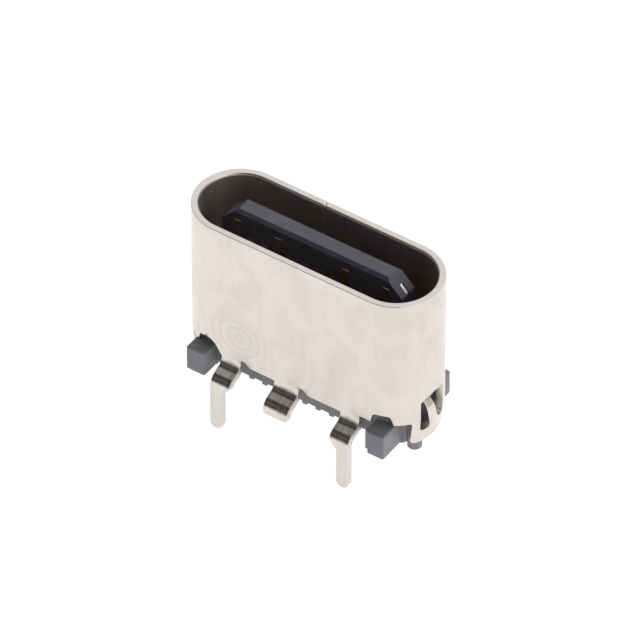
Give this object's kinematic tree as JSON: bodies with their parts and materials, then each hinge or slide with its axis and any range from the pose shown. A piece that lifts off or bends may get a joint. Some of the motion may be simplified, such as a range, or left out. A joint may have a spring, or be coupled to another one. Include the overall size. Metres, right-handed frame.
{
  "type": "board socket",
  "caption": "Upright through-hole board socket: a folded metal shell with a stadium-shaped mouth round a flat contact tongue, on a plastic base with feet and pegs.",
  "frame": {"origin": "middle of the plane that sits on the circuit board", "axes": "+Z out of the mouth, +X along the mouth's long side towards contact 12 of the front row, -Y towards the front row"},
  "size_m": [0.0088, 0.0044, 0.0076],
  "materials": {
    "shell_nickel": "satin nickel plating, warm tone",
    "base_plastic": "matte moulded, dark grey",
    "tongue_plastic": "satin moulded, blue-black",
    "plate_steel": "plain stainless",
    "contact_gold": "gold flash over nickel"
  },
  "bodies": {
    "root": {"shell": "shell_nickel", "housing": "base_plastic", "tongue": "tongue_plastic", "mid_plate": "plate_steel", "ground_plate_front": "plate_steel", "ground_plate_rear": "plate_steel", "contact_a01": "contact_gold", "contact_a02": "contact_gold", "contact_a03": "contact_gold", "contact_a04": "contact_gold", "contact_a05": "contact_gold", "contact_a06": "contact_gold", "contact_a07": "contact_gold", "contact_a08": "contact_gold", "contact_a09": "contact_gold", "contact_a10": "contact_gold", "contact_a11": "contact_gold", "contact_a12": "contact_gold", "contact_b01": "contact_gold", "contact_b02": "contact_gold", "contact_b03": "contact_gold", "contact_b04": "contact_gold", "contact_b05": "contact_gold", "contact_b06": "contact_gold", "contact_b07": "contact_gold", "contact_b08": "contact_gold", "contact_b09": "contact_gold", "contact_b10": "contact_gold", "contact_b11": "contact_gold", "contact_b12": "contact_gold"}
  },
  "joints": []
}
